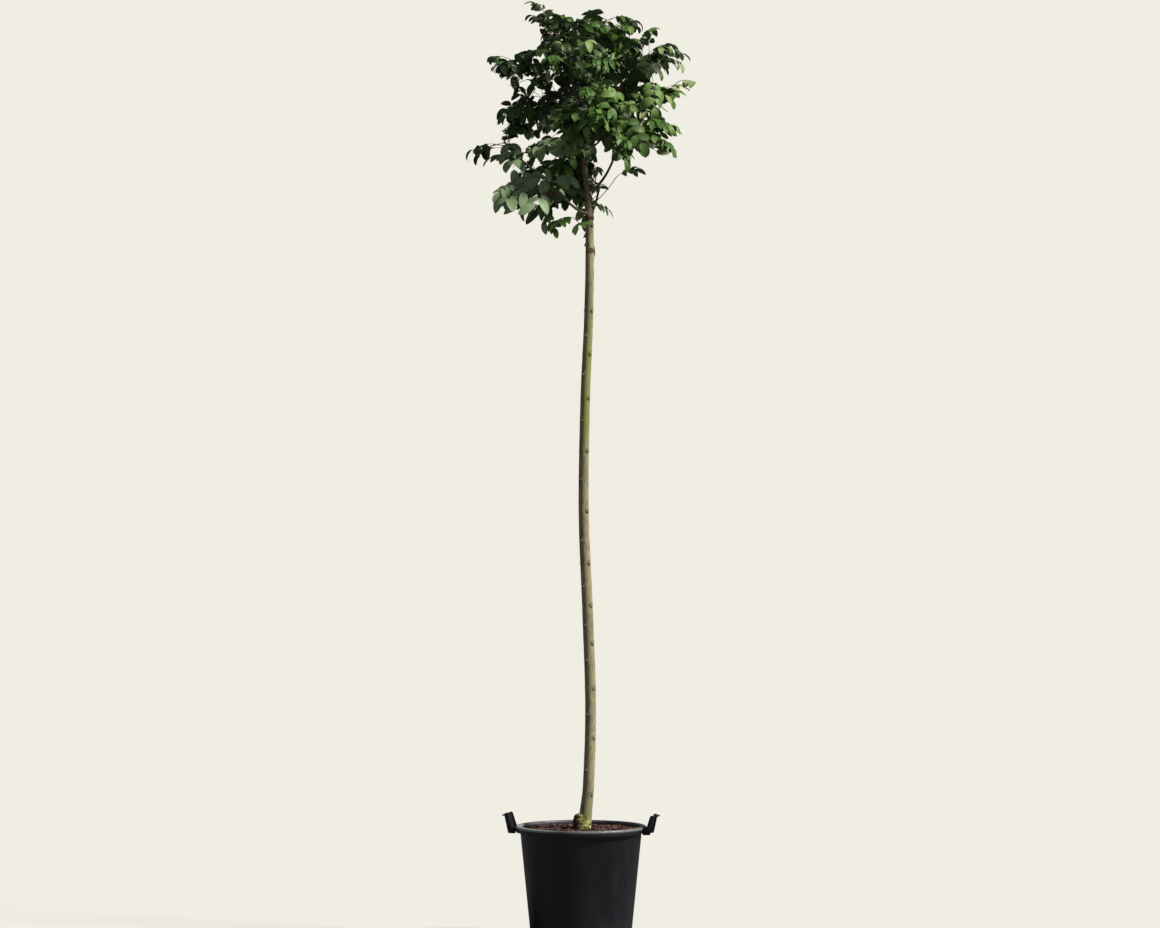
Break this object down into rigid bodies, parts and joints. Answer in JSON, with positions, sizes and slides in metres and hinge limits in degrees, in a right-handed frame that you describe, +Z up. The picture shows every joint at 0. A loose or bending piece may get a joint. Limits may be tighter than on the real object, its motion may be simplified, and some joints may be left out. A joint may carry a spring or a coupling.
{
  "type": "potted manna ash tree",
  "caption": "Young ash grown as a standard: a round open crown of feather leaves on a tall straight stem, in a round nursery pot with two lifting lugs.",
  "frame": {"origin": "centre of the pot's flat underside, on the ground", "axes": "+Z up; the picture looks along +Y, with +X to its right, so the front of the tree faces -Y"},
  "size_m": [0.7361, 0.7191, 3.1206],
  "materials": {
    "pot_plastic": "black moulded plastic, satin, with a lighter worn edge on the rim",
    "compost": "damp dark red-brown bark compost, rough",
    "bark": "smooth olive-grey young bark with green algae and pale flecks",
    "young_bark": "tan to olive-brown bark of young shoots, smooth",
    "foliage": "mid-green leaflets, faintly glossy above and paler below"
  },
  "bodies": {
    "root": {"pot": "pot_plastic", "lug_left": "pot_plastic", "lug_right": "pot_plastic", "soil": "compost", "trunk": "bark", "bough_front_left": "young_bark", "bough_back_low": "young_bark", "bough_left_low": "young_bark", "bough_right_low": "young_bark", "bough_front": "young_bark", "bough_back": "young_bark", "bough_left_mid": "young_bark", "bough_right_mid": "young_bark", "bough_left_top": "young_bark", "bough_right_top": "young_bark", "bough_right": "young_bark", "bough_front_top": "young_bark", "bough_top_left": "young_bark", "bough_back_top": "young_bark", "foliage_low_left": "foliage", "foliage_low_back": "foliage", "foliage_left_low": "foliage", "foliage_right_low": "foliage", "foliage_front": "foliage", "foliage_back": "foliage", "foliage_left_mid": "foliage", "foliage_right_mid": "foliage", "foliage_left_top": "foliage", "foliage_right_top": "foliage", "foliage_right": "foliage", "foliage_front_top": "foliage", "foliage_top_left": "foliage", "foliage_back_top": "foliage", "foliage_top": "foliage"}
  },
  "joints": []
}
